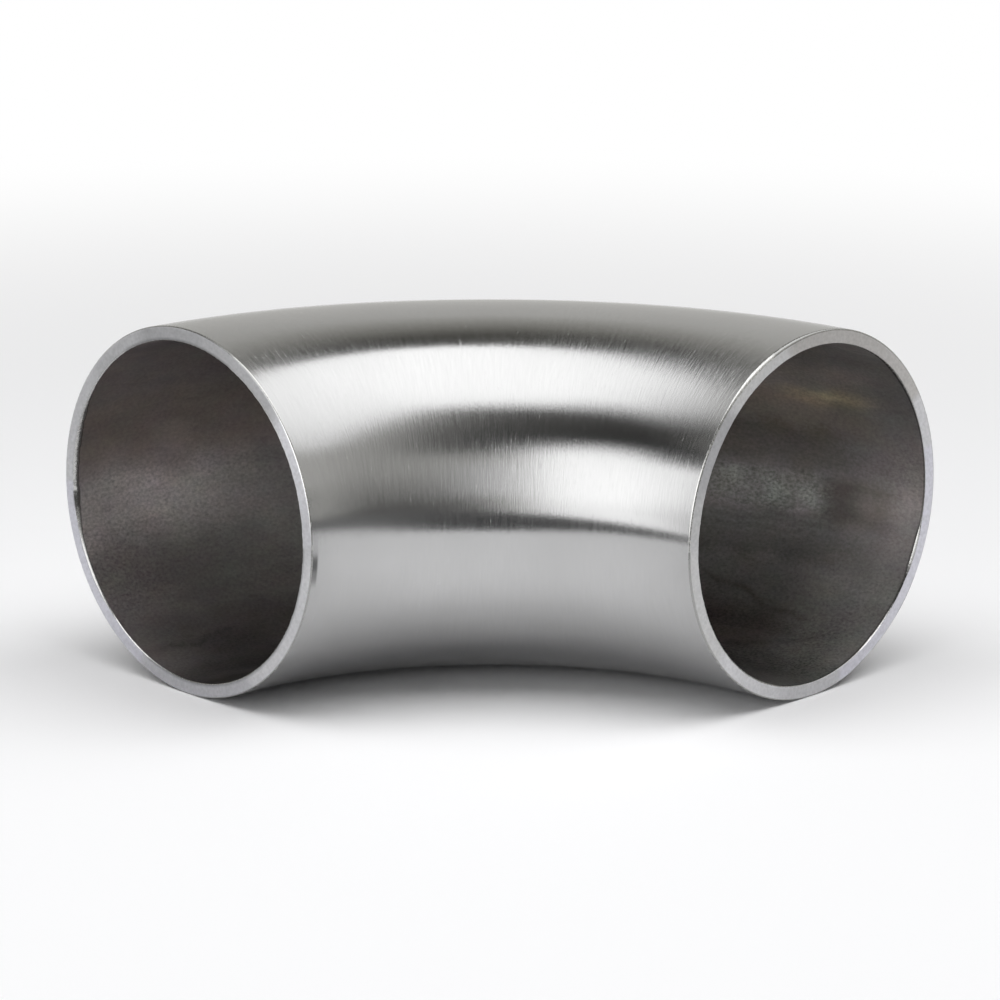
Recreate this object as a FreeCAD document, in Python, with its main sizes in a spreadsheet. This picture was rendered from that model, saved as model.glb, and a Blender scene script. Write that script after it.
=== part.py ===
import FreeCAD, Part
import Sketcher

import math
import os

# Mandrel bent elbow: a quarter turn of thin stainless tube, cut square and deburred at both ends.
# Millimetres and degrees. The elbow lies on its side, with +Z up and the floor at Z = 0. The origin is on
# the floor under the middle of the elbow's box. The inlet faces -Y and the outlet faces +X.

# name, value, what it is
SIZES = (
    ("outside_diameter", 48.3, "across the tube"),
    ("wall", 1.9, "wall thickness, even all round because a mandrel fills the bore while it is bent"),
    ("bend_radius", 57, "bend's centre to the tube's centre line, also centre to end"),
    ("bend_angle", 90, "turn from the inlet to the outlet"),
    ("bore_chamfer", 0.3, "leg of the 45 degree deburr round each mouth"),
    ("rim_chamfer", 0.2, "leg of the 45 degree edge break round the outside of each end"),
)
NODE = "elbow"


def make_sheet(doc):
    sheet = doc.addObject("Spreadsheet::Sheet", "Sizes")
    for row, (name, value, meaning) in enumerate(SIZES, start=1):
        sheet.set(f"A{row}", name)
        sheet.set(f"B{row}", str(value))
        sheet.set(f"C{row}", meaning)
        sheet.setAlias(f"B{row}", name)
    doc.recompute()
    return sheet


def origin_feature(body, role):
    return next(f for f in body.Origin.OriginFeatures if f.Role == role)


def bind(sketch, name, constraint, formula):
    number = sketch.addConstraint(constraint)
    sketch.renameConstraint(number, name)
    sketch.setExpression(f"Constraints.{name}", formula)


def make_section(body, sheet):
    """The tube's section in the inlet's face: two circles round one centre, left of the bend's axis."""
    section = body.newObject("Sketcher::SketchObject", "TubeSection")
    section.AttachmentSupport = (origin_feature(body, "XZ_Plane"), [""])
    section.MapMode = "FlatFace"
    centre, normal = FreeCAD.Vector(-sheet.bend_radius, 0, 0), FreeCAD.Vector(0, 0, 1)
    outer = sheet.outside_diameter / 2
    inner = outer - sheet.wall
    skin = section.addGeometry(Part.Circle(centre, normal, outer), False)
    bore = section.addGeometry(Part.Circle(centre, normal, inner), False)
    # point 3 of a circle is its centre, and geometry -1 is the sketch's horizontal axis, from its origin
    section.addConstraint(Sketcher.Constraint("PointOnObject", skin, 3, -1))
    section.addConstraint(Sketcher.Constraint("Coincident", skin, 3, bore, 3))
    to_axis = Sketcher.Constraint("DistanceX", skin, 3, -1, 1, sheet.bend_radius)
    bind(section, "to_bend_axis", to_axis, "Sizes.bend_radius")
    skin_size = Sketcher.Constraint("Radius", skin, outer)
    bind(section, "skin_radius", skin_size, "Sizes.outside_diameter / 2")
    bore_size = Sketcher.Constraint("Radius", bore, inner)
    bind(section, "bore_radius", bore_size, "Sizes.outside_diameter / 2 - Sizes.wall")
    return section


def make_bend(body, section):
    """The section turned about the upright axis, clockwise seen from above."""
    bend = body.newObject("PartDesign::Revolution", "Bend")
    bend.Profile = section
    bend.ReferenceAxis = (section, ["V_Axis"])
    bend.setExpression("Angle", "Sizes.bend_angle")
    bend.Reversed = True
    return bend


def end_edges(feature, radius):
    """Names of the whole circles of this radius, which are the edges round the two end faces."""
    def is_rim(edge):
        round_edge = edge.Closed and isinstance(edge.Curve, Part.Circle)
        return round_edge and math.isclose(edge.Curve.Radius, radius, abs_tol=1e-6)

    return [f"Edge{number}" for number, edge in enumerate(feature.Shape.Edges, start=1) if is_rim(edge)]


def chamfer_ends(body, name, base, radius, formula):
    """Breaks the two end edges of this radius, one at the inlet and one at the outlet."""
    chamfer = body.newObject("PartDesign::Chamfer", name)
    chamfer.Base = (base, end_edges(base, radius))
    chamfer.setExpression("Size", formula)
    return chamfer


def make_elbow(doc, sheet):
    body = doc.addObject("PartDesign::Body", "Elbow")
    body.Label = NODE
    section = make_section(body, sheet)
    bend = make_bend(body, section)
    doc.recompute()
    outer = sheet.outside_diameter / 2
    deburr = chamfer_ends(body, "BoreDeburr", bend, outer - sheet.wall, "Sizes.bore_chamfer")
    doc.recompute()
    chamfer_ends(body, "RimBreak", deburr, outer, "Sizes.rim_chamfer")
    half_box = "(Sizes.bend_radius + Sizes.outside_diameter / 2) / 2"
    body.setExpression("Placement.Base.x", half_box)
    body.setExpression("Placement.Base.y", f"-{half_box}")
    body.setExpression("Placement.Base.z", "Sizes.outside_diameter / 2")
    doc.recompute()
    return body, bend


def check(doc, sheet, body, bend):
    for thing in doc.Objects:
        if {"Invalid", "Error"} & set(thing.State):
            raise RuntimeError(f"{thing.Label} failed: {thing.State}")
    if body.Shape.isNull() or not body.Shape.isValid() or len(body.Shape.Solids) != 1:
        raise RuntimeError("the elbow isn't one valid solid")
    # a section turned about an axis sweeps its area times its centre's path
    outer = sheet.outside_diameter / 2
    ring_area = math.pi * (outer**2 - (outer - sheet.wall) ** 2)
    swept = ring_area * math.radians(sheet.bend_angle) * sheet.bend_radius
    if abs(bend.Shape.Volume / swept - 1) > 1e-4:
        raise RuntimeError("the bend's volume isn't its section times its path")
    # skin, bore, and at each end a face, a deburr and an edge break
    if len(body.Shape.Faces) != 8:
        raise RuntimeError("an end edge wasn't broken")


def export(body):
    os.makedirs("parts", exist_ok=True)
    body.Shape.exportStep(os.path.join("parts", f"{body.Label}.step"))
    box = body.Shape.optimalBoundingBox(False)
    print(f"{body.Label}: {body.Shape.Volume:.0f} mm3, x {box.XMin:.2f} to {box.XMax:.2f}")
    print(f"y {box.YMin:.2f} to {box.YMax:.2f}, z {box.ZMin:.2f} to {box.ZMax:.2f}")


document = FreeCAD.newDocument("MandrelBentElbow")
sizes = make_sheet(document)
elbow, plain_bend = make_elbow(document, sizes)
check(document, sizes, elbow, plain_bend)
export(elbow)
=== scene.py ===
import math

import bpy
import numpy as np
from mathutils import Matrix, Vector


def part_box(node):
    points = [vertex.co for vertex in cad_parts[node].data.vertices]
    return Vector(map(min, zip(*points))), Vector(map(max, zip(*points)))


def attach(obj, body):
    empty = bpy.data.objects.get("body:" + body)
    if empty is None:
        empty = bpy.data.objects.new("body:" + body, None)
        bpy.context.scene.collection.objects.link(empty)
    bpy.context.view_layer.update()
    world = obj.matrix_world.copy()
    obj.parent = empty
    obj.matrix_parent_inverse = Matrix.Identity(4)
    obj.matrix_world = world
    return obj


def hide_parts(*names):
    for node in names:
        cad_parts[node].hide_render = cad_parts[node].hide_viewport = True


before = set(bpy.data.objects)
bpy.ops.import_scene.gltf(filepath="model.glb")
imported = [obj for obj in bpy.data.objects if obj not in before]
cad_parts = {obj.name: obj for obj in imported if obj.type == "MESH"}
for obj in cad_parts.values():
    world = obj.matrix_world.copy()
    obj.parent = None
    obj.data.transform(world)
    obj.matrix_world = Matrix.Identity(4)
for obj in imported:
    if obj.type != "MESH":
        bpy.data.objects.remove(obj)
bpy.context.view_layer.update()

# A quarter turn of thin stainless tube, bent over a mandrel, cut square and deburred at both ends, and
# brushed outside with a belt that runs round it. It lies on its side on a white table. Lengths are in metres.

mm = 0.001


def toLinear(hexColour):
    # sRGB hex to the linear colour that a shader wants: each channel c is c/12.92 or ((c + 0.055)/1.055)^2.4
    channels = [int(hexColour[i:i + 2], 16) / 255 for i in (1, 3, 5)]
    linear = [c / 12.92 if c <= 0.04045 else ((c + 0.055) / 1.055) ** 2.4 for c in channels]
    return (*linear, 1.0)


def addNode(tree, kind, settings=None, links=None):
    # one node: a setting's name is a property of the node, or else one of its inputs
    node = tree.nodes.new(kind)
    for name, value in (settings or {}).items():
        if hasattr(node, str(name)):
            setattr(node, name, value)
        else:
            node.inputs[name].default_value = value
    for socket, source in (links or {}).items():
        tree.links.new(source, node.inputs[socket])
    return node


def newMaterial(name):
    material = bpy.data.materials.new(name)
    material.use_nodes = True
    material.node_tree.nodes.clear()
    return material, material.node_tree


# the elbow's shape

elbow = {
    "wall": 1.9 * mm,
    "support": 0.04 * mm,       # rows this far either side of an edge keep the faces beside it true
    "paintedShadeLine": 0.3 * mm,           # how far the painted shade line, dark along the deburr's edge, reaches into the bore
    "smudge": (0.65 * mm, 0.95 * mm),   # rows of the skin between which the smudge beside the inlet ends
    "aroundSteps": 480,
    "skinSteps": 48,
    "faceSteps": 3,
    "roundSteps": 4,
    "boreFine": (1.5 * mm, 25 * mm, 46),    # closer rows in the bore where it shows: from, to, how many
    "boreMiddle": 20,
    "sharp": 30,        # degrees between faces, from which their edge is shaded sharp
    # the outer edge, taken off by hand: degrees round the section from the outside of the bend, and mm
    "edgeRound": {
        "inlet": ((-180, 0.2), (180, 0.2)),
        "outlet": (
            (-180, 0.2), (-72, 0.16), (-62, 0.4), (-54, 0.4), (-38, 0.2), (84, 0.2), (102, 0.38),
            (122, 0.42), (136, 0.22), (180, 0.2),
        ),
    },
    # the deburr of each mouth, cut by hand: degrees round, mm out on the face and mm deep into the bore
    "deburr": {
        "inlet": (
            (-180, 0.26, 0.24), (-135, 0.2, 0.18), (-90, 0.1, 0.14), (-76, 0.08, 0.14), (-68, 0.08, 0.22),
            (-52, 0.08, 0.2), (-46, 0.1, 0.14), (-41, 0.2, 0.22), (-34, 0.28, 0.28), (-22, 0.3, 0.32),
            (-14, 0.26, 0.5), (-8, 0.26, 0.74), (12, 0.24, 0.75), (25, 0.2, 0.6), (36, 0.16, 0.3),
            (70, 0.1, 0.14), (105, 0.12, 0.12), (135, 0.28, 0.24), (180, 0.26, 0.24),
        ),
        "outlet": (
            (-180, 0.26, 0.2), (-130, 0.24, 0.16), (-90, 0.06, 0.1), (-74, 0.08, 0.12), (-66, 0.08, 0.2),
            (-58, 0.13, 0.26), (-50, 0.1, 0.22), (-42, 0.07, 0.14), (-33, 0.08, 0.14), (-26, 0.28, 0.42),
            (-20, 0.26, 0.4), (-11, 0.06, 0.08), (20, 0.06, 0.08), (36, 0.1, 0.25), (46, 0.14, 0.34),
            (58, 0.1, 0.2), (72, 0.1, 0.1), (90, 0.06, 0.08), (150, 0.12, 0.12), (180, 0.26, 0.2),
        ),
    },
    "deburrRows": (0.3, 0.62),      # where rows lie between its two edges, as shares of its depth
    "deburrCurve": 1.7,
    # the tool makes that cut wider and narrower: waves round the mouth, how strong each is, and all of them
    "deburrWaves": ((5, 0.3), (13, 0.35), (37, 0.4), (61, 0.35), (109, 0.3)),
    "deburrUneven": 0.14,
    "deburrSeeds": {"inlet": 11, "outlet": 23},
}
strips = {"satin": 0, "faced": 1, "deburred": 2, "bore": 3}     # their places among the finishes

nodeLow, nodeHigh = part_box("elbow")
tubeRadius = (nodeHigh.z - nodeLow.z) / 2
boreRadius = tubeRadius - elbow["wall"]
bendCentre = np.array([nodeHigh.x, nodeLow.y, (nodeHigh.z + nodeLow.z) / 2])
bendRadius = nodeHigh.y - nodeLow.y - tubeRadius
print(f"elbow: tube {2 * tubeRadius / mm:.2f} mm across, bend radius {bendRadius / mm:.2f} mm")


def roundTable(rows, around):
    # the columns of a table of degrees and values, read at angles in radians, between rows in a straight line
    clock, *columns = np.array(rows).T
    degrees = (np.degrees(around) + 180) % 360 - 180
    return [np.interp(degrees, clock, column) for column in columns]


def deburrCut(mouth, around):
    # the cut's two legs, times one plus a sum of sine waves with seeded phases
    draw = np.random.default_rng(elbow["deburrSeeds"][mouth])
    waves = np.zeros_like(around)
    for count, share in elbow["deburrWaves"]:
        waves += share * np.sin(count * around + draw.uniform(0, 2 * math.pi))
    out, deep = roundTable(elbow["deburr"][mouth], around)
    uneven = mm * (1 + elbow["deburrUneven"] * waves)
    return out * uneven, deep * uneven


def endRows(mouth, around):
    # One end from skin to bore: distance from the end's plane and radius of each row, and the strip that
    # follows. The outer edge is a quarter circle and the face is flat. The deburr is round: at the share s of
    # its depth it still stands out from the bore by (1 - s)^curve of its width on the face.
    support, curve = elbow["support"], elbow["deburrCurve"]
    edge = roundTable(elbow["edgeRound"][mouth], around)[0] * mm
    out, deep = deburrCut(mouth, around)
    same = np.ones_like(around)
    rows = []
    for turn in np.linspace(0, math.pi / 2, elbow["roundSteps"] + 1)[:-1]:
        rows.append((edge * (1 - math.sin(turn)), tubeRadius - edge * (1 - math.cos(turn)), "deburred"))
    faceOuter, faceInner = tubeRadius - edge, boreRadius + out
    rows.append((0 * same, faceOuter, "faced"))
    rows.append((0 * same, faceOuter - support, "faced"))
    for share in np.linspace(0, 1, elbow["faceSteps"] + 2)[1:-1]:
        rows.append((0 * same, faceOuter + share * (faceInner - faceOuter), "faced"))
    rows.append((0 * same, faceInner + support / 2, "faced"))
    rows.append((0 * same, faceInner, "deburred"))
    for share in elbow["deburrRows"]:
        rows.append((deep * share, boreRadius + out * (1 - share) ** curve, "deburred"))
    rows.append((deep, boreRadius * same, "bore"))
    rows.append((deep + support, boreRadius * same, "bore"))
    rows.append((deep + elbow["paintedShadeLine"], boreRadius * same, "bore"))
    return rows


def boreShares():
    # where the bore's rows lie, as shares of the bend from the outlet back to the inlet
    whole = bendRadius * math.pi / 2
    near, far, count = elbow["boreFine"]
    fine = np.linspace(near, far, count) / whole
    middle = np.linspace(fine[-1], 1 - fine[-1], elbow["boreMiddle"] + 2)[1:-1]
    return 1 - np.concatenate([fine, middle, 1 - fine[::-1]])


def loopRows(around):
    # The closed loop skin, outlet end, bore, inlet end: share of the bend, distance from the end, radius and
    # strip. The inlet's rows run backwards, so a strip there lies on the skin's side of its row, and the last
    # of them lies on the loop's first row.
    same = np.ones_like(around)
    support = elbow["support"]
    outlet, inlet = endRows("outlet", around), endRows("inlet", around)
    startBack, endBack = inlet[0][0], outlet[0][0]
    rows = [(0, startBack, tubeRadius * same, "satin")]
    rows += [(0, startBack + back, tubeRadius * same, "satin") for back in (support, *elbow["smudge"])]
    for share in np.linspace(0, 1, elbow["skinSteps"] + 1)[1:-1]:
        rows.append((share, (1 - share) * startBack + share * endBack, tubeRadius * same, "satin"))
    rows.append((1, endBack + support, tubeRadius * same, "satin"))
    rows += [(1, back, radius, strip) for back, radius, strip in outlet]
    boreBack, boreFront = outlet[-1][0], inlet[-1][0]
    for share in boreShares():
        rows.append((share, share * boreBack + (1 - share) * boreFront, boreRadius * same, "bore"))
    rows += [(0, back, radius, strip) for back, radius, strip in reversed(inlet)]
    return rows


def elbowSurface():
    # A point of the tube: from the bend's centre go (bend radius + r cos around) along the spoke at the angle
    # turn, and r sin around up. A row at a distance d from an end's plane has
    # turn = asin(d / (bend radius + r cos around)).
    around = np.linspace(0, 2 * math.pi, elbow["aroundSteps"], endpoint=False)
    rows = loopRows(around)
    share = np.array([row[0] for row in rows])[:, None]
    back = np.array([row[1] for row in rows])
    radius = np.array([row[2] for row in rows])
    spoke = bendRadius + radius * np.cos(around)
    inset = np.arcsin(back / spoke)
    turn = share * (math.pi / 2 - inset) + (1 - share) * inset
    height = radius * np.sin(around)
    points = bendCentre + np.stack([-spoke * np.cos(turn), spoke * np.sin(turn), height], axis=-1)
    unbent = np.stack([turn * bendRadius, radius * np.cos(around), height], axis=-1)
    return points, unbent, around, [row[3] for row in rows]


def smoothStep(value, start, end):
    # 3 s^2 - 2 s^3, where s runs from nothing at start to one at end
    share = np.clip((value - start) / (end - start), 0, 1)
    return share * share * (3 - 2 * share)


def window(value, low, high, soft):
    # one from low to high, falling to nothing over soft about each
    rise = smoothStep(value, low - soft / 2, low + soft / 2)
    return rise * smoothStep(-value, -high - soft / 2, -high + soft / 2)


tints = {
    "plain": (1.0, 1.0, 1.0),
    "cream": (1.0, 1.0, 0.975),
    "cool": (0.995, 0.995, 1.015),
    "lilac": (0.99, 0.985, 1.045),
    "warm": (1.03, 1.0, 0.95),
    "green": (0.97, 1.01, 0.99),
    "mauve": (1.03, 0.985, 0.985),
    "rust": (1.06, 0.985, 0.95),
    "straw": (1.035, 1.0, 0.9),
}

# how the end faces, ground by hand in strokes, the broken edges and the skin beside the inlet, with its dark
# smudge, differ round each mouth: strip, mouth, from and to degrees round, softness, lightness and tint. On
# the faces the lightness and tint are partly the grinding and partly a painted reflection, lighter or darker
# round the ring; on the broken edges the lightness is painted shade that dims their highlights.
strokes = (
    ("faced", "inlet", -180, -164, 10, 1.15, "plain"),
    ("faced", "inlet", -162, -128, 8, 1.04, "plain"),
    ("faced", "inlet", -122, -67, 5, 0.86, "cool"),
    ("faced", "inlet", -67, 0, 2, 1.07, "lilac"),
    ("faced", "inlet", 0, 42, 6, 1.04, "plain"),
    ("faced", "inlet", 42, 76, 8, 0.91, "plain"),
    ("faced", "inlet", 70, 102, 10, 0.75, "plain"),
    ("faced", "inlet", 102, 115, 6, 0.85, "plain"),
    ("faced", "inlet", 115, 136, 6, 0.88, "plain"),
    ("faced", "inlet", 140, 166, 8, 1.4, "cool"),
    ("faced", "inlet", 166, 180, 6, 1.24, "cool"),
    ("satin", "inlet", -190, -170, 5, 0.88, "plain"),
    ("satin", "inlet", 177, 190, 5, 0.88, "plain"),
    ("satin", "inlet", -178, -169, 4, 0.55, "plain"),
    ("satin", "inlet", -177, -173, 3, 0.55, "plain"),
    ("faced", "outlet", -180, -140, 4, 0.99, "cream"),
    ("faced", "outlet", -138, -104, 6, 1.11, "plain"),
    ("faced", "outlet", -76, 13, 3, 1.14, "lilac"),
    ("faced", "outlet", 13, 32, 3, 1.08, "plain"),
    ("faced", "outlet", 32, 54, 4, 0.82, "warm"),
    ("faced", "outlet", 54, 105, 6, 0.77, "warm"),
    ("faced", "outlet", 105, 136, 10, 1.0, "cream"),
    ("faced", "outlet", 136, 164, 8, 0.73, "plain"),
    ("faced", "outlet", 164, 180, 8, 0.85, "cream"),
    ("deburred", "inlet", -180, -70, 2, 0.55, "plain"),
    ("deburred", "inlet", -42, -14, 3, 0.8, "plain"),
    ("deburred", "inlet", -9, -3, 2, 0.5, "plain"),
    ("deburred", "inlet", -2, 60, 3, 0.88, "plain"),
    ("deburred", "inlet", 60, 114, 3, 0.55, "plain"),
    ("deburred", "outlet", -180, -64, 3, 0.55, "plain"),
    ("deburred", "outlet", -44, -31, 5, 0.4, "plain"),
    ("deburred", "outlet", -15, 112, 3, 0.6, "plain"),
)

# what bending and pickling left in the bore: mouth, from and to mm deep, softness, from and to degrees round,
# softness, lightness, speckle and tint
stains = (
    ("inlet", -9, 60, 1, 3, 180, 10, 1.06, 0.8, "mauve"),
    ("inlet", -9, 60, 1, 6, 30, 12, 1.0, 1.0, "warm"),
    ("inlet", -9, 14, 12, 56, 90, 20, 0.8, 1.0, "lilac"),
    ("inlet", -9, 20, 12, -23, 0, 14, 1.62, 1.7, "plain"),
    ("inlet", 6, 14, 8, -18, -3, 12, 1.32, 1.0, "plain"),
    ("inlet", 2, 18, 8, -3, 8, 10, 1.18, 1.2, "mauve"),
    ("inlet", -9, 8, 8, -50, -20, 12, 1.15, 1.9, "plain"),
    ("inlet", 11, 30, 10, -52, -22, 14, 1.15, 1.2, "green"),
    ("inlet", 2, 13, 5, 8, 46, 10, 1.1, 1.0, "plain"),
    ("inlet", 9, 13, 3, 0, 16, 6, 1.12, 1.0, "plain"),
    ("inlet", -9, 6, 4, -115, -96, 8, 0.8, 1.0, "plain"),
    ("inlet", 3, 26, 8, -92, -55, 12, 0.78, 1.2, "plain"),
    ("inlet", 7, 16, 6, -92, -65, 7, 0.72, 1.2, "plain"),
    ("inlet", -9, 30, 6, -180, -84, 14, 0.56, 1.2, "plain"),
    ("inlet", -9, 30, 6, -180, -97, 8, 0.5, 1.0, "warm"),
    ("outlet", -9, 3, 2, 66, 90, 6, 0.82, 1.0, "plain"),
    ("outlet", 3, 30, 8, 36, 66, 14, 1.16, 1.0, "plain"),
    ("outlet", -9, 3.5, 3, -42, 14, 14, 1.14, 1.2, "plain"),
    ("outlet", 5, 24, 8, 24, 42, 12, 1.36, 1.0, "warm"),
    ("outlet", 6, 24, 6, 12, 30, 10, 1.0, 1.0, "straw"),
    ("outlet", 12, 26, 5, 16, 34, 8, 1.14, 1.0, "plain"),
    ("outlet", 5.5, 14.5, 5, 24, 30, 5, 1.3, 1.3, "straw"),
    ("outlet", 8.5, 11.5, 3, 26.4, 28.2, 2.4, 1.4, 1.0, "cream"),
    ("outlet", -9, 5, 8, -12, 12, 12, 1.14, 1.2, "mauve"),
    ("outlet", 9, 30, 8, -1, 14, 8, 0.65, 1.0, "warm"),
    ("outlet", 8, 30, 5, -19, 1, 6, 0.8, 1.0, "plain"),
    ("outlet", 9, 30, 9, -34, -18, 7, 0.57, 1.3, "green"),
    ("outlet", 11, 30, 8, -66, -33, 10, 0.72, 1.5, "green"),
    ("outlet", 3, 30, 4, -90, -57, 12, 0.82, 1.5, "plain"),
    ("outlet", -9, 10, 8, -82, -34, 14, 1.26, 1.5, "green"),
    ("outlet", 5, 12, 4, -36, -14, 8, 0.9, 1.0, "plain"),
    ("outlet", 3.5, 11.3, 4, -20, -4, 6, 0.74, 1.0, "warm"),
    ("outlet", 7.5, 11.3, 3, -18, -4, 6, 0.7, 1.0, "plain"),
    ("outlet", 11, 30, 3, -17, -3, 4, 1.0, 2.6, "green"),
    ("outlet", 11.6, 13.8, 2, -13.5, -8, 5, 1.4, 1.2, "green"),
    ("outlet", 15.8, 17.6, 1.6, -15, -6, 5, 1.28, 1.2, "green"),
    ("outlet", 20.2, 22, 1.8, -9, -3, 5, 1.25, 1.2, "green"),
    ("outlet", 12, 30, 6, -75, -54, 9, 0.78, 1.0, "rust"),
    ("outlet", -9, 30, 5, -180, -76, 12, 0.7, 2.0, "green"),
    ("outlet", 5, 30, 5, -180, -86, 8, 0.82, 1.0, "plain"),
)

# thin traces in the bore: mouth, points (mm deep, degrees round), width in mm, lightness and tint
traces = (
    ("outlet", ((9, -56), (14, -54), (18, -47.5), (23, -43)), 1.0, 0.62, "rust"),
    ("outlet", ((12.5, -52), (16, -50), (19, -46)), 0.5, 0.8, "rust"),
    ("outlet", ((4, -61), (9, -67), (12, -71.5), (17, -75)), 0.9, 0.68, "plain"),
    ("outlet", ((12, -16.3), (16, -16.6)), 0.3, 1.5, "plain"),
    ("outlet", ((9, -19.5), (23, -20)), 0.35, 1.22, "green"),
    ("outlet", ((10, -22.5), (24, -22.8)), 0.35, 1.3, "green"),
    ("outlet", ((12, -25.5), (24, -25.5)), 0.35, 1.2, "green"),
    ("outlet", ((0.5, 57), (3, 58.5), (6, 62)), 0.35, 1.4, "plain"),
    ("outlet", ((0.8, 61), (3, 61.5), (5, 64)), 0.3, 1.25, "plain"),
    ("inlet", ((0.8, -67), (4, -67.5), (7, -69), (9, -67), (13, -63)), 0.9, 0.66, "plain"),
)

# how all these end and waver, where a wave is a sine's height and the length of one radian of it
marks = {
    "sectorReach": 1.7,                         # mm behind the mouth
    "paintedShadeLightness": 0.4,                       # of the painted shade line beside the deburrs
    "stainWaves": ((0.11, 1.9), (0.08, 0.8)),   # shares of the softness, by mm of depth
    "stainRagged": ((0.2, 1.3), (0.15, 0.5)),   # mm, by degrees round
    "traceWaves": ((0.5, 0.9), (0.4, 0.43)),    # degrees, by mm of depth
    "traceSlant": 7,                            # degrees round that shift its second wave by a radian
    "traceBreaks": (0.34, 0.31, 0.73, 3),       # how far it fades, two lengths in mm, degrees as above
    "traceSoft": 2,                             # mm
}


def ripple(waves, value, *phases):
    # a sum of sines, each height * sin(value / length + phase)
    return sum(height * np.sin(value / length + phase) for (height, length), phase in zip(waves, phases))


def toneAll(unbent, around, kinds):
    # each point's colour and, as alpha, speckle, as shares of its finish's own: stains and marks, and painted
    # light and shade on the end faces and edges
    clock = np.degrees(np.angle(np.exp(1j * around)))[None, :] + 0 * unbent[..., 0]     # -180 to 180 degrees
    whole = bendRadius * math.pi / 2
    deep = {"inlet": unbent[..., 0] / mm, "outlet": (whole - unbent[..., 0]) / mm}
    rows = np.array(kinds)[:, None]
    before = np.roll(rows, 1, axis=0)
    tone = np.ones((*clock.shape, 4))

    def paint(share, lightness, tint, speckle=1.0):
        tone[:] *= 1 + share[..., None] * (np.array([*(lightness * c for c in tints[tint]), speckle]) - 1)

    # on the faces these sectors are partly a painted reflection, on the broken edges painted shade
    for strip, mouth, low, high, soft, lightness, tint in strokes:
        here = ((rows == strip) | (before == strip)) & (deep[mouth] < marks["sectorReach"])
        paint(here * window(clock, low, high, soft), lightness, tint)
    inside = (rows == "bore") & (before == "bore")
    for mouth, near, far, softAlong, low, high, soft, lightness, speckle, tint in stains:
        here = inside * (deep[mouth] < whole / mm / 2)
        wavy = clock + soft * ripple(marks["stainWaves"], deep["inlet"], low, high)
        ragged = deep[mouth] + ripple(marks["stainRagged"], clock, low, high)
        here = here * window(ragged, near, far, softAlong) * window(wavy, low, high, soft)
        paint(here, lightness, tint, speckle)
    wavy = clock + ripple(marks["traceWaves"], deep["inlet"], 0, clock / marks["traceSlant"])
    fade, *lengths, slant = marks["traceBreaks"]
    for mouth, path, width, lightness, tint in traces:
        depths, clocks = np.array(path).T
        across = np.radians(wavy - np.interp(deep[mouth], depths, clocks)) * boreRadius / mm
        first, second = (deep[mouth] / length for length in lengths)
        breaks = np.sin(first + depths[0]) * np.sin(second + clock / slant)
        along = window(deep[mouth], depths[0], depths[-1], marks["traceSoft"]) * (1 - fade * (1 - breaks))
        paint(inside * along * np.exp(-(2 * across / width) ** 2), lightness, tint)
    # the painted shade line, dark along the edge where the deburr meets the bore, takes the bore's first two
    # rows behind the outlet's deburr and its last behind the inlet's
    bore = rows == "bore"
    previous, following = np.roll(bore, 1, axis=0), np.roll(bore, -1, axis=0)
    line = bore & ~(previous & np.roll(previous, 1, axis=0) & following)
    paint(line * np.ones_like(clock), marks["paintedShadeLightness"], "plain")
    return tone


def loopLength(points):
    # how far each row lies along the loop, as the mean over all section angles, and the whole loop's length
    steps = np.linalg.norm(np.roll(points, -1, axis=0) - points, axis=-1).mean(axis=1)
    return np.concatenate([[0], np.cumsum(steps)])


def buildElbow():
    # a grid of quads between the loop's rows and the angles round the section, closed both ways
    points, unbent, around, kinds = elbowSurface()
    rowCount, columnCount = points.shape[:2]
    row, column = np.meshgrid(np.arange(rowCount), np.arange(columnCount), indexing="ij")
    nextRow, nextColumn = (row + 1) % rowCount, (column + 1) % columnCount
    corners = ((row, column), (row, nextColumn), (nextRow, nextColumn), (nextRow, column))
    faces = np.stack([r * columnCount + c for r, c in corners], axis=-1).reshape(-1, 4)
    mesh = bpy.data.meshes.new("bent_tube")
    mesh.from_pydata(points.reshape(-1, 3), [], faces)

    # UV in millimetres: U along the loop, V round the tube, so that U's direction is the tube's own
    length = loopLength(points)
    arc = 2 * math.pi / columnCount * tubeRadius
    uvCorners = ((row, column), (row, column + 1), (row + 1, column + 1), (row + 1, column))
    uv = np.stack([np.stack([length[r], c * arc], axis=-1) for r, c in uvCorners], axis=2)
    layer = mesh.uv_layers.new(name="unrolled")
    layer.uv.foreach_set("vector", (uv / mm).ravel())

    straight = mesh.attributes.new("unbent", "FLOAT_VECTOR", "POINT")
    straight.data.foreach_set("vector", unbent.ravel())
    # the tone holds the bore's stains and marks and the painted light and shade of the faces and edges
    tone = mesh.attributes.new("tone", "FLOAT_COLOR", "POINT")
    tone.data.foreach_set("color", toneAll(unbent, around, kinds).ravel())
    finish = np.repeat([strips[kind] for kind in kinds], columnCount)
    mesh.polygons.foreach_set("material_index", finish.astype(np.int32))
    mesh.shade_smooth()
    mesh.set_sharp_from_angle(angle=math.radians(elbow["sharp"]))
    mesh.validate()
    piece = bpy.data.objects.new("bent_tube", mesh)
    bpy.context.scene.collection.objects.link(piece)
    print(f"elbow: {rowCount} rows of {columnCount}, {2 * len(faces)} triangles")
    return piece


# finishes

noiseSpan = {"From Min": 0.3, "From Max": 0.7}      # where most of a noise's values lie


def tonedColour(tree, hexColour, shade, tone):
    # a finish's colour, times a shade that comes from noise, times the tone painted on the mesh, which holds
    # stains and also painted light and shade
    even = addNode(tree, "ShaderNodeVectorMath", {"operation": "SCALE", 0: toLinear(hexColour)[:3]},
                   {"Scale": shade})
    colour = addNode(tree, "ShaderNodeVectorMath", {"operation": "MULTIPLY"},
                     {0: even.outputs["Vector"], 1: tone.outputs["Color"]})
    return colour.outputs["Vector"]


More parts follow.
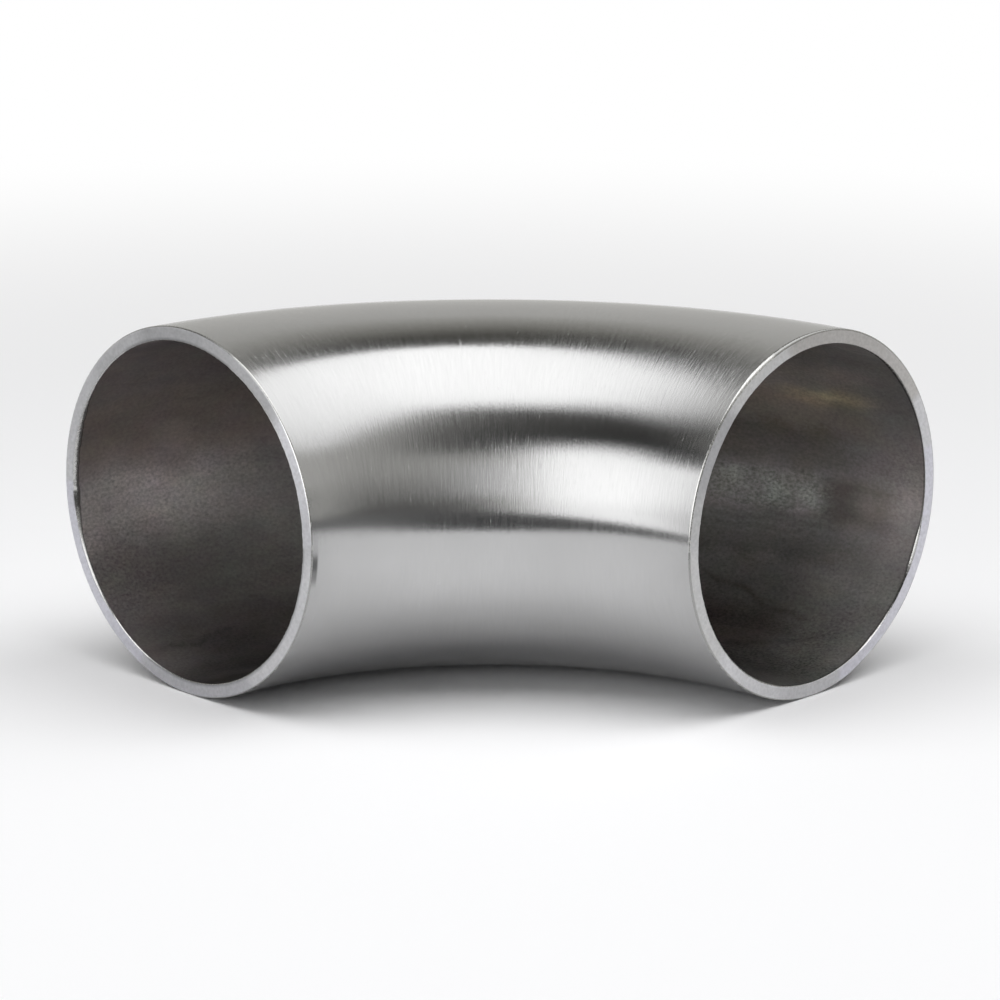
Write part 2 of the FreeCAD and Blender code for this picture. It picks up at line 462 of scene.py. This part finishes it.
satin = {
    "colour": "#BCBCBC",
    "roughness": (0.17, 0.23),
    "anisotropy": 0.93,
    # brush marks, coarser than the belt's own grit so that they show: width along the tube, length round it
    # and height
    "lines": (0.32 * mm, 3.0 * mm, 0.0165 * mm),
    "grain": (0.18 * mm, 0.5 * mm, 0.006 * mm),
    "scratches": (0.11 * mm, 1.5 * mm, 0.0026 * mm),
    "scratchFrom": (0.58, 0.76),        # only the crests of the third noise are scratches
    "scratchRoughness": 0.06,
    "clouds": 18 * mm,
    "patches": (0.1, 0.4),              # where most of the product of lines and clouds lies
    "shade": (0.95, 1.04),
}


def brushMarks(tree, straight, kind, detail):
    # noise drawn out round the tube
    width, length, height = satin[kind]
    drawn = addNode(tree, "ShaderNodeMapping", {"Scale": (1 / width, 1 / length, 1 / length)},
                    {"Vector": straight.outputs["Vector"]})
    noise = addNode(tree, "ShaderNodeTexNoise", {"Scale": 1.0, "Detail": detail, "Roughness": 0.6},
                    {"Vector": drawn.outputs["Vector"]})
    return noise.outputs["Fac"], height


def satinStainless():
    # Stainless tube brushed with a belt that runs round it: the lines are hoops, so a lamp's reflection is
    # drawn out along the tube and stays narrow round it
    material, tree = newMaterial("satin_brushed_stainless")
    straight = addNode(tree, "ShaderNodeAttribute", {"attribute_name": "unbent"})
    lines, lineHeight = brushMarks(tree, straight, "lines", 3.0)
    grain, grainHeight = brushMarks(tree, straight, "grain", 2.0)
    scratches, scratchHeight = brushMarks(tree, straight, "scratches", 1.0)
    crestLow, crestHigh = satin["scratchFrom"]
    cut = addNode(tree, "ShaderNodeMapRange", {"From Min": crestLow, "From Max": crestHigh},
                  {"Value": scratches})
    level = addNode(tree, "ShaderNodeMath", {"operation": "MULTIPLY", 1: lineHeight}, {0: lines})
    level = addNode(tree, "ShaderNodeMath", {"operation": "MULTIPLY_ADD", 1: grainHeight},
                    {0: grain, 2: level.outputs["Value"]})
    level = addNode(tree, "ShaderNodeMath", {"operation": "MULTIPLY_ADD", 1: scratchHeight},
                    {0: cut.outputs["Result"], 2: level.outputs["Value"]})
    bump = addNode(tree, "ShaderNodeBump", {"Strength": 1.0, "Distance": 1.0},
                   {"Height": level.outputs["Value"]})
    roughLow, roughHigh = satin["roughness"]
    rough = addNode(tree, "ShaderNodeMapRange", {**noiseSpan, "To Min": roughLow, "To Max": roughHigh},
                    {"Value": lines})
    rougher = addNode(tree, "ShaderNodeMath", {"operation": "MULTIPLY_ADD", 1: satin["scratchRoughness"]},
                      {0: cut.outputs["Result"], 2: rough.outputs["Result"]})
    cloud = addNode(tree, "ShaderNodeTexNoise", {"Scale": 1 / satin["clouds"], "Detail": 3.0},
                    {"Vector": straight.outputs["Vector"]})
    patchy = addNode(tree, "ShaderNodeMath", {"operation": "MULTIPLY"}, {0: lines, 1: cloud.outputs["Fac"]})
    (patchLow, patchHigh), (dark, light) = satin["patches"], satin["shade"]
    span = {"From Min": patchLow, "From Max": patchHigh, "To Min": dark, "To Max": light}
    shade = addNode(tree, "ShaderNodeMapRange", span, {"Value": patchy.outputs["Value"]})
    tone = addNode(tree, "ShaderNodeAttribute", {"attribute_name": "tone"})
    colour = tonedColour(tree, satin["colour"], shade.outputs["Result"], tone)
    along = addNode(tree, "ShaderNodeTangent", {"direction_type": "UV_MAP", "uv_map": "unrolled"})
    shader = addNode(tree, "ShaderNodeBsdfPrincipled", {"Metallic": 1.0, "Anisotropic": satin["anisotropy"]},
                     {"Base Color": colour, "Roughness": rougher.outputs["Value"],
                      "Tangent": along.outputs["Tangent"], "Normal": bump.outputs["Normal"]})
    addNode(tree, "ShaderNodeOutputMaterial", links={"Surface": shader.outputs["BSDF"]})
    return material


faced = {
    "colour": "#C1C1C3",
    "roughness": 0.32,
    "grain": 0.42 * mm,         # coarser than the grit's own marks, so that it shows
    "grainHeight": 0.005 * mm,
    "shade": (0.9, 1.09),
}


def facedStainless():
    # The cut end, faced by hand with a fine grit: cool, fine-grained and a little duller than the skin
    material, tree = newMaterial("faced_stainless")
    place = addNode(tree, "ShaderNodeTexCoord")
    grain = addNode(tree, "ShaderNodeTexNoise", {"Scale": 1 / faced["grain"], "Detail": 3.0},
                    {"Vector": place.outputs["Object"]})
    bump = addNode(tree, "ShaderNodeBump", {"Strength": 1.0, "Distance": faced["grainHeight"]},
                   {"Height": grain.outputs["Fac"]})
    dark, light = faced["shade"]
    shade = addNode(tree, "ShaderNodeMapRange", {**noiseSpan, "To Min": dark, "To Max": light},
                    {"Value": grain.outputs["Fac"]})
    # the tone makes the face lighter or darker round the ring: partly grinding, partly a painted reflection
    tone = addNode(tree, "ShaderNodeAttribute", {"attribute_name": "tone"})
    colour = tonedColour(tree, faced["colour"], shade.outputs["Result"], tone)
    shader = addNode(tree, "ShaderNodeBsdfPrincipled", {"Metallic": 1.0, "Roughness": faced["roughness"]},
                     {"Base Color": colour, "Normal": bump.outputs["Normal"]})
    addNode(tree, "ShaderNodeOutputMaterial", links={"Surface": shader.outputs["BSDF"]})
    return material


deburred = {
    "colour": "#CDCDCB",
    "roughness": (0.18, 0.32),
    "chatter": 0.45 * mm,
    "chatterHeight": 0.02 * mm,
}


def deburredStainless():
    # The broken edges: bright metal freshly cut by a hand tool, with chatter marks
    material, tree = newMaterial("deburred_stainless")
    place = addNode(tree, "ShaderNodeTexCoord")
    chatter = addNode(tree, "ShaderNodeTexNoise", {"Scale": 1 / deburred["chatter"], "Detail": 2.0},
                      {"Vector": place.outputs["Object"]})
    bump = addNode(tree, "ShaderNodeBump", {"Strength": 1.0, "Distance": deburred["chatterHeight"]},
                   {"Height": chatter.outputs["Fac"]})
    roughLow, roughHigh = deburred["roughness"]
    rough = addNode(tree, "ShaderNodeMapRange", {**noiseSpan, "To Min": roughLow, "To Max": roughHigh},
                    {"Value": chatter.outputs["Fac"]})
    # the tone dims these edges in places: painted shade in place of their highlights
    tone = addNode(tree, "ShaderNodeAttribute", {"attribute_name": "tone"})
    even = toLinear(deburred["colour"])[:3]
    colour = addNode(tree, "ShaderNodeVectorMath", {"operation": "MULTIPLY", 0: even},
                     {1: tone.outputs["Color"]})
    shader = addNode(tree, "ShaderNodeBsdfPrincipled", {"Metallic": 1.0},
                     {"Base Color": colour.outputs["Vector"], "Roughness": rough.outputs["Result"],
                      "Normal": bump.outputs["Normal"]})
    addNode(tree, "ShaderNodeOutputMaterial", links={"Surface": shader.outputs["BSDF"]})
    return material


pickled = {
    "colour": "#A19D9C",
    "roughness": 0.52,
    "cloud": 9 * mm,            # across the tube
    "cloudStretch": 2.5,        # longer along it
    "mottle": (0.84, 1.16),
    "bloom": 3.5 * mm,          # patches where the pickled skin is a little greener or more purple
    "bloomTint": 0.13,
    "speckle": 0.36 * mm,       # coarser than the etched grain, so that it shows
    "speckleContrast": 0.75,
    "speckleHeight": 0.015 * mm,
}


def pickledStainless():
    # The bore as bending and pickling leave it: dark, matt and etched, mottled along the tube, with a fine
    # speckle
    material, tree = newMaterial("pickled_stainless")
    straight = addNode(tree, "ShaderNodeAttribute", {"attribute_name": "unbent"})
    tone = addNode(tree, "ShaderNodeAttribute", {"attribute_name": "tone"})
    across = 1 / pickled["cloud"]
    drawn = addNode(tree, "ShaderNodeMapping", {"Scale": (across / pickled["cloudStretch"], across, across)},
                    {"Vector": straight.outputs["Vector"]})
    cloud = addNode(tree, "ShaderNodeTexNoise", {"Scale": 1.0, "Detail": 6.0, "Roughness": 0.7},
                    {"Vector": drawn.outputs["Vector"]})
    speckle = addNode(tree, "ShaderNodeTexNoise",
                      {"Scale": 1 / pickled["speckle"], "Detail": 3.0, "Roughness": 0.6},
                      {"Vector": straight.outputs["Vector"]})
    dark, light = pickled["mottle"]
    mottle = addNode(tree, "ShaderNodeMapRange", {**noiseSpan, "To Min": dark, "To Max": light},
                     {"Value": cloud.outputs["Fac"]})
    centred = addNode(tree, "ShaderNodeMath", {"operation": "SUBTRACT", 1: 0.5}, {0: speckle.outputs["Fac"]})
    strong = addNode(tree, "ShaderNodeMath", {"operation": "MULTIPLY", 1: pickled["speckleContrast"]},
                     {0: tone.outputs["Alpha"]})
    shade = addNode(tree, "ShaderNodeMath", {"operation": "MULTIPLY_ADD"},
                    {0: centred.outputs["Value"], 1: strong.outputs["Value"], 2: mottle.outputs["Result"]})
    stained = tonedColour(tree, pickled["colour"], shade.outputs["Value"], tone)
    bloom = addNode(tree, "ShaderNodeTexNoise", {"Scale": 1 / pickled["bloom"], "Detail": 3.0},
                    {"Vector": straight.outputs["Vector"]})
    # the bloom's three channels, each centred on one
    spread = pickled["bloomTint"]
    tinted = addNode(tree, "ShaderNodeVectorMath",
                     {"operation": "MULTIPLY_ADD", 1: [spread] * 3, 2: [1 - spread / 2] * 3},
                     {0: bloom.outputs["Color"]})
    colour = addNode(tree, "ShaderNodeVectorMath", {"operation": "MULTIPLY"},
                     {0: stained, 1: tinted.outputs["Vector"]})
    bump = addNode(tree, "ShaderNodeBump", {"Strength": 1.0, "Distance": pickled["speckleHeight"]},
                   {"Height": speckle.outputs["Fac"]})
    shader = addNode(tree, "ShaderNodeBsdfPrincipled", {"Metallic": 1.0, "Roughness": pickled["roughness"]},
                     {"Base Color": colour.outputs["Vector"], "Normal": bump.outputs["Normal"]})
    addNode(tree, "ShaderNodeOutputMaterial", links={"Surface": shader.outputs["BSDF"]})
    return material


tube = buildElbow()
for finish in (satinStainless, facedStainless, deburredStainless, pickledStainless):
    tube.data.materials.append(finish())
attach(tube, "root")
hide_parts("elbow")
print("finishes: satin skin, faced ends, deburred edges, pickled bore")


# the studio: a white table, a light tent and a camera

camera = {
    "place": (0.326588, -0.328896, 0.143575),
    "heading": 44.797,      # degrees, anticlockwise from +Y
    "pitch": -14.747,
    "roll": 0.281,
    "lens": 130.41,         # mm, as the sensor is
    "sensor": 36.0,
}


def addCamera():
    # It starts out looking down, is rolled about its line of sight, tipped up about X by a right angle plus
    # the pitch, and turned about Z to the heading.
    heading, pitch = math.radians(camera["heading"]), math.radians(camera["pitch"])
    turn = Matrix.Rotation(heading, 4, "Z") @ Matrix.Rotation(math.pi / 2 + pitch, 4, "X")
    turn = turn @ Matrix.Rotation(math.radians(camera["roll"]), 4, "Z")
    data = bpy.data.cameras.new("camera")
    data.lens, data.sensor_width = camera["lens"], camera["sensor"]
    holder = bpy.data.objects.new("camera", data)
    holder.matrix_world = Matrix.Translation(camera["place"]) @ turn
    bpy.context.scene.collection.objects.link(holder)
    bpy.context.scene.camera = holder


def towards(around, up):
    # unit vector for an angle round from the camera's side, clockwise seen from above, and an elevation, both
    # in degrees
    compass, up = np.radians(np.asarray(around) + 180 - camera["heading"]), np.radians(up)
    return np.stack([np.cos(up) * np.sin(compass), np.cos(up) * np.cos(compass), np.sin(up)], axis=-1)


def addStage(name, points, faces, material, hiddenFrom=()):
    # a mesh that isn't part of the elbow, hidden from the kinds of ray that are named
    mesh = bpy.data.meshes.new(name)
    mesh.from_pydata(points, [], faces)
    mesh.materials.append(material)
    holder = bpy.data.objects.new(name, mesh)
    bpy.context.scene.collection.objects.link(holder)
    for ray in hiddenFrom:
        setattr(holder, f"visible_{ray}", False)
    return mesh


# softboxes: degrees round from the camera's side, elevation, distance, width, height, brightness
softboxes = {
    "overhead": (0, 80, 0.6, 1.3, 0.5, 2.57),
    "front_left": (45, 18, 0.75, 1.3, 0.4, 0.75),
    "right": (-105, 50, 0.8, 0.5, 0.5, 0.94),
}


def addSoftboxes():
    # They light the table. The metal shows the tent instead, where edges are soft as in a real light tent.
    # A lamp's power is its brightness * pi * its area.
    for name, (around, up, distance, width, height, brightness) in softboxes.items():
        data = bpy.data.lights.new(name, "AREA")
        data.shape, data.size, data.size_y = "RECTANGLE", width, height
        data.energy = brightness * math.pi * width * height
        holder = bpy.data.objects.new(name, data)
        place = Vector(towards(around, up))
        facing = place.to_track_quat("Z", "Y").to_matrix().to_4x4()
        holder.matrix_world = Matrix.Translation(place * distance) @ facing
        bpy.context.scene.collection.objects.link(holder)
        holder.visible_camera = holder.visible_glossy = False


tent = {
    "radius": 6.0,
    "low": -0.5,        # degrees under the table, so that no gap shows
    "steps": (182, 360),
    "wall": 0.63,
    "warm": (1.01, 1.0, 0.96),
    # fields of its wall: the middle and half the width in degrees round from the camera's side, the elevation
    # from and to, and the softness of the edges. Where the last two are missing, the field ends at boxTop.
    "fields": {
        "backdrop": (180, 76, -20, 90, 18),
        "screen": (-35, 34, -20, 48, 18),
        "unlit": (35, 73, 32, 64, 10),
        "darkest": (80, 22, 18),
        "front": (-4, 12, 6, 25.5, 9),
        "box": (56, 42, -20),
        "boxMiddle": (38, 22, -20),
        "boxLeft": (104, 12, -20),
        "boxFoot": (92, 20, -20, 4, 18),
    },
    "darkest": 0.02,
    "darkestOver": 11,      # degrees by which it stands over the box
    "darkestSoft": 6,
    "boxMiddle": 2.04,
    "boxMiddleSoft": 12,
    "boxLeft": 1.2,
    "boxLeftSoft": 8,
    "boxFoot": 0.95,
    "browner": (0.01, 0, -0.07),
    # What follows are tables of degrees and values: by elevation where the name ends in Up, by the angle from
    # straight behind where it ends in Away, and elsewhere by the angle round from the camera's side. The
    # pairs named From are the elevations between which a change comes in.
    "backdropFrom": (38, 62),
    "backdropSoonerAway": ((0, 0), (12, 3), (25, 5)),
    "backdropDimAway": ((0, 0.135), (12, 0.11), (20, 0.03), (35, 0)),
    "screenUp": ((0, 0.125), (10, 0.28), (20, 0.43), (32, 0.45), (44, 0.3)),
    "screenLiftFrom": (30, 45),
    "screenLift": ((-60, 0.45), (-40, 0.3), (-25, 0)),
    "screenDropFrom": (30, 40),
    "screenDrop": ((-30, 0), (-20, 0.2), (-8, 0.8)),
    "screenRight": ((-65, 1), (-55, 0)),
    "screenRightUp": ((0, -0.1), (10, -0.07), (20, 0), (26, 0.12), (32, 0.15)),
    "unlit": ((-32, 0.2), (-10, 0.13), (0, 0.09), (30, 0.08), (70, 0.065), (90, 0.14)),
    "unlitUp": ((42, 0.6), (56, 1.4)),
    "front": ((-12, 0.58), (2, 0.9)),
    "box": ((50, 1.9), (75, 1.66), (95, 1.55)),
    "boxUp": ((-8, 0.62), (-3, 0.77), (2, 0.92), (7, 1)),
    "boxDim": ((25, 0), (50, 1)),
    "boxDimUp": ((12, 0), (20, 0.03), (30, 0.14), (36, 0.2)),
    "boxTop": (
        (0, 31.5), (14, 34), (26, 34.6), (46, 35), (56, 32.5), (66, 28.8), (76, 25), (92, 21.5), (110, 20),
    ),
    "boxSoft": ((10, 5), (24, 12), (60, 11), (85, 5)),
    "diffuserEdge": (
        (-180, 72.5), (-165, 71), (-153, 66.5), (-145, 61), (-141, 45), (-138, 30), (-90, 30), (-78, 31),
        (-60, 46.5), (-45, 56), (-30, 60.3), (0, 61.5), (14, 61.4), (30, 60.5), (46, 59.4), (58, 58.8),
        (68, 55.3), (76, 49.8), (86, 45.6), (95, 44), (105, 44.2), (112, 47), (120, 55.5), (128, 62.5),
        (140, 67), (150, 69.5), (165, 71.5), (180, 72.5),
    ),
    "diffuserSoft": ((-130, 1.2), (-100, 4.5), (35, 5), (58, 9), (70, 10.5), (88, 9), (130, 1.2)),
    "diffuserUp": ((22, 0.76), (34, 1.37), (46, 1.6), (58, 1.72), (70, 1.93)),
    "shoulderFrom": 80,
    "shoulderUp": ((40, 0.25), (46, 0.6), (58, 1.3), (64, 1.75), (70, 1.93)),
}


def tentTable(name, angle):
    # a table's values at the angles, in straight lines between its rows
    angles, values = np.array(tent[name]).T
    return np.interp(angle, angles, values)


def tentGlow(around, up):
    # colour of the tent's wall in each direction, painted from the back to the front
    warm, wall = np.array(tent["warm"]), tent["wall"]
    away = 180 - np.abs(around)
    glow = wall * warm * np.ones((*around.shape, 3))

    def field(name, *topAndSoft):
        # one inside the field's angles, falling to nothing over soft degrees about their edges
        middle, half, low, high, soft = (*tent["fields"][name], *topAndSoft)
        aside = np.abs((around - middle + 180) % 360 - 180)
        sides = smoothStep(half + soft / 2 - aside, 0, soft)
        return sides * smoothStep(up - low + soft / 2, 0, soft) * smoothStep(high + soft / 2 - up, 0, soft)

    def paint(share, level, tint=(1, 1, 1)):
        glow[:] = glow + share[..., None] * (np.asarray(level)[..., None] * np.asarray(tint) - glow)

    # the backdrop darkens upwards, sooner at its sides
    low, high = tent["backdropFrom"]
    climb = np.clip((up + tentTable("backdropSoonerAway", away) - low) / (high - low), 0, 1)
    browner = 1 + climb[..., None] * np.array(tent["browner"])
    paint(field("backdrop"), wall + climb * (tentTable("backdropDimAway", away) - wall), warm * browner)
    # the grey screen at the front right
    screen = tentTable("screenUp", up)
    screen *= 1 + smoothStep(up, *tent["screenLiftFrom"]) * tentTable("screenLift", around)
    screen *= 1 - smoothStep(up, *tent["screenDropFrom"]) * tentTable("screenDrop", around)
    screen *= 1 + tentTable("screenRightUp", up) * tentTable("screenRight", around)
    paint(field("screen"), screen, warm)
    # the tent is unlit between the boxes and the diffuser
    paint(field("unlit"), tentTable("unlit", around) * tentTable("unlitUp", up), warm)
    top = tentTable("boxTop", around)
    paint(field("darkest", top + tent["darkestOver"], tent["darkestSoft"]), tent["darkest"])
    paint(field("front"), tentTable("front", around))
    # the front left box dims towards its foot and, on its left, towards its top; its middle is brightest
    box = tentTable("boxUp", up) * (1 - tentTable("boxDimUp", up) * tentTable("boxDim", around))
    paint(field("box", top, tentTable("boxSoft", around)), box * tentTable("box", around))
    paint(field("boxMiddle", top, tent["boxMiddleSoft"]), tent["boxMiddle"] * box)
    paint(field("boxLeft", top, tent["boxLeftSoft"]), tent["boxLeft"])
    paint(field("boxFoot"), tent["boxFoot"])
    # the diffuser over it all is darker low down at its left
    edge, soft = tentTable("diffuserEdge", around), tentTable("diffuserSoft", around)
    level = np.where(around > tent["shoulderFrom"], tentTable("shoulderUp", up), tentTable("diffuserUp", up))
    paint(smoothStep(up, edge - soft, edge + soft), level)
    return glow


def addGlowing(name, points, colour):
    # an open grid of points that only metal sees, with the colour that each one glows in kept as an attribute
    rowCount, columnCount = points.shape[:2]
    row, column = np.meshgrid(np.arange(rowCount - 1), np.arange(columnCount - 1), indexing="ij")
    start = (row * columnCount + column).ravel()
    faces = np.stack([start, start + columnCount, start + columnCount + 1, start + 1], axis=1)
    material, tree = newMaterial(name)
    material.cycles.emission_sampling = "NONE"
    glow = addNode(tree, "ShaderNodeAttribute", {"attribute_name": "glow"})
    light = addNode(tree, "ShaderNodeEmission", links={"Color": glow.outputs["Color"]})
    addNode(tree, "ShaderNodeOutputMaterial", links={"Surface": light.outputs["Emission"]})
    hidden = ("camera", "diffuse", "shadow", "transmission")
    mesh = addStage(name, points.reshape(-1, 3), faces, material, hidden)
    layer = mesh.attributes.new("glow", "FLOAT_COLOR", "POINT")
    rgba = np.concatenate([colour, np.ones((rowCount, columnCount, 1))], axis=-1)
    layer.data.foreach_set("color", rgba.ravel())


def addTent():
    # a dome round the elbow, worked out from elevation and the angle round
    upSteps, aroundSteps = tent["steps"]
    up, around = np.meshgrid(np.linspace(tent["low"], 90, upSteps), np.linspace(-180, 180, aroundSteps + 1),
                             indexing="ij")
    addGlowing("light_tent", towards(around, up) * tent["radius"], tentGlow(around, up))


table = {
    "colour": "#FAFAFB",
    "reach": 40.0,
    "whiteFrom": 0.1,      # from here on the table turns into the white background
    "whiteTo": 0.42,
    # beyond the table's front edge, just out of the picture, the metal sees a dark gap and then the tent's
    # foot: degrees round from the camera's side, the edge, the gap's far side, and the gap's brightness
    "gap": (
        (-90, 0.32, 0.9, 0.4), (-76, 0.19, 0.6, 0.29), (-52, 0.157, 0.6, 0.2), (-26, 0.114, 0.6, 0.11),
        (0, 0.106, 0.45, 0.08), (17, 0.114, 0.3, 0.085), (28, 0.119, 0.25, 0.1), (38, 0.114, 0.22, 0.13),
        (50, 0.107, 0.185, 0.16), (78, 0.1, 0.15, 0.38), (92, 0.16, 0.3, 0.35), (110, 0.3, 0.6, 0.5),
    ),
    "gapSoft": 0.1,         # share of the distance of its far side
    "gapSteps": (60, 120),
    "gapEnd": 0.98,         # share of the tent's radius
    "gapLift": 0.5 * mm,
}


def background(tree):
    # one where the camera, metal or glass sees the background itself
    path = addNode(tree, "ShaderNodeLightPath")
    seen = path.outputs["Is Camera Ray"]
    for other in ("Is Glossy Ray", "Is Transmission Ray"):
        seen = addNode(tree, "ShaderNodeMath", {"operation": "MAXIMUM"}, {0: seen, 1: path.outputs[other]})
        seen = seen.outputs["Value"]
    return seen


def addTable():
    reach = table["reach"]
    material, tree = newMaterial("white_table")
    place = addNode(tree, "ShaderNodeTexCoord")
    distance = addNode(tree, "ShaderNodeVectorMath", {"operation": "LENGTH"}, {0: place.outputs["Object"]})
    span = {"From Min": table["whiteFrom"], "From Max": table["whiteTo"]}
    white = addNode(tree, "ShaderNodeMapRange", {"interpolation_type": "SMOOTHSTEP", **span},
                    {"Value": distance.outputs["Value"]})
    share = addNode(tree, "ShaderNodeMath", {"operation": "MULTIPLY"},
                    {0: white.outputs["Result"], 1: background(tree)})
    board = addNode(tree, "ShaderNodeBsdfDiffuse", {"Color": toLinear(table["colour"])})
    glow = addNode(tree, "ShaderNodeEmission", {"Color": (1, 1, 1, 1), "Strength": 1.0})
    mix = addNode(tree, "ShaderNodeMixShader", links={
        0: share.outputs["Value"], 1: board.outputs["BSDF"], 2: glow.outputs["Emission"]})
    addNode(tree, "ShaderNodeOutputMaterial", links={"Surface": mix.outputs["Shader"]})
    corners = [(-reach, -reach, 0), (reach, -reach, 0), (reach, reach, 0), (-reach, reach, 0)]
    addStage("table", corners, [(0, 1, 2, 3)], material)


def addTableGap():
    # a fan on the table from its front edge out to the tent: each ring is near * (end / near)^share away, and
    # coloured as the gap and, past it, as the tent's foot
    angles, edges, ends, levels = np.array(table["gap"]).T
    aroundSteps, outSteps = table["gapSteps"]
    around = np.linspace(angles[0], angles[-1], aroundSteps)
    near, far, level = (np.interp(around, angles, values) for values in (edges, ends, levels))
    share = np.linspace(0, 1, outSteps)[:, None]
    distance = near * (table["gapEnd"] * tent["radius"] / near) ** share
    soft = table["gapSoft"]
    past = smoothStep(distance, (1 - soft) * far, (1 + soft) * far)[..., None]
    colour = (1 - past) * level[:, None] + past * tentGlow(around, 0 * around)
    points = distance[..., None] * towards(around, 0 * around) + np.array([0, 0, table["gapLift"]])
    addGlowing("table_gap", points, colour)


surroundings = {"fill": 0.05, "seen": 1.0}      # light on the object, and the white that is seen behind it


def addWorld():
    world = bpy.data.worlds.new("studio")
    bpy.context.scene.world = world
    world.use_nodes = True
    tree = world.node_tree
    tree.nodes.clear()
    fill, white = (addNode(tree, "ShaderNodeBackground", {"Color": (1, 1, 1, 1), "Strength": strength})
                   for strength in (surroundings["fill"], surroundings["seen"]))
    mix = addNode(tree, "ShaderNodeMixShader", links={
        0: background(tree), 1: fill.outputs["Background"], 2: white.outputs["Background"]})
    addNode(tree, "ShaderNodeOutputWorld", links={"Surface": mix.outputs["Shader"]})


addCamera()
addWorld()
addSoftboxes()
addTable()
addTableGap()
addTent()
bpy.context.scene.view_settings.view_transform = "Standard"
print("studio: camera, world, table and tent")
